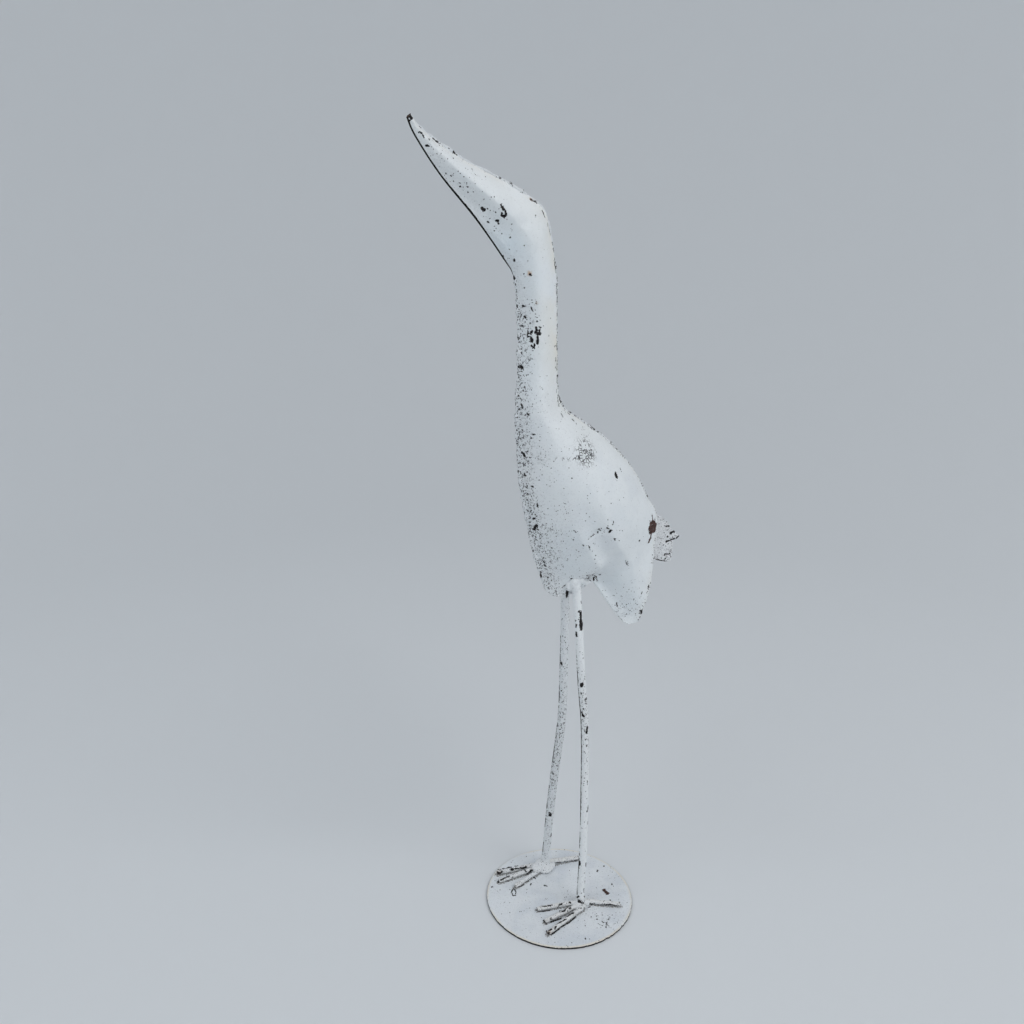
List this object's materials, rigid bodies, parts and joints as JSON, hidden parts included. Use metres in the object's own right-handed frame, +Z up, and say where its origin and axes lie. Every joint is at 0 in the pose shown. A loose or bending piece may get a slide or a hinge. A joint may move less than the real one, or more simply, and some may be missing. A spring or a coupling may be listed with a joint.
{
  "type": "crane garden statue",
  "caption": "White-painted sheet-iron crane standing on two rod legs with splayed toes on a thin round base, beak raised.",
  "frame": {"origin": "centre of the round base's underside", "axes": "+Z up, the bird looks along -Y, its left side is +X"},
  "size_m": [0.12, 0.2241, 0.603],
  "materials": {
    "bird_paint": "worn matt white paint with dark chips",
    "rod_paint": "worn matt white paint with dark chips",
    "base_paint": "worn matt white paint",
    "tail_paint": "thin worn white paint on rough iron"
  },
  "bodies": {
    "root": {"base_disc": "base_paint", "tail": "tail_paint", "left_flank": "bird_paint", "right_flank": "bird_paint", "left_leg": "rod_paint", "right_leg": "rod_paint", "left_toe_outer": "rod_paint", "left_toe_middle": "rod_paint", "left_toe_inner": "rod_paint", "left_toe_back": "rod_paint", "right_toe_outer": "rod_paint", "right_toe_middle": "rod_paint", "right_toe_inner": "rod_paint", "right_toe_back": "rod_paint"}
  },
  "joints": []
}
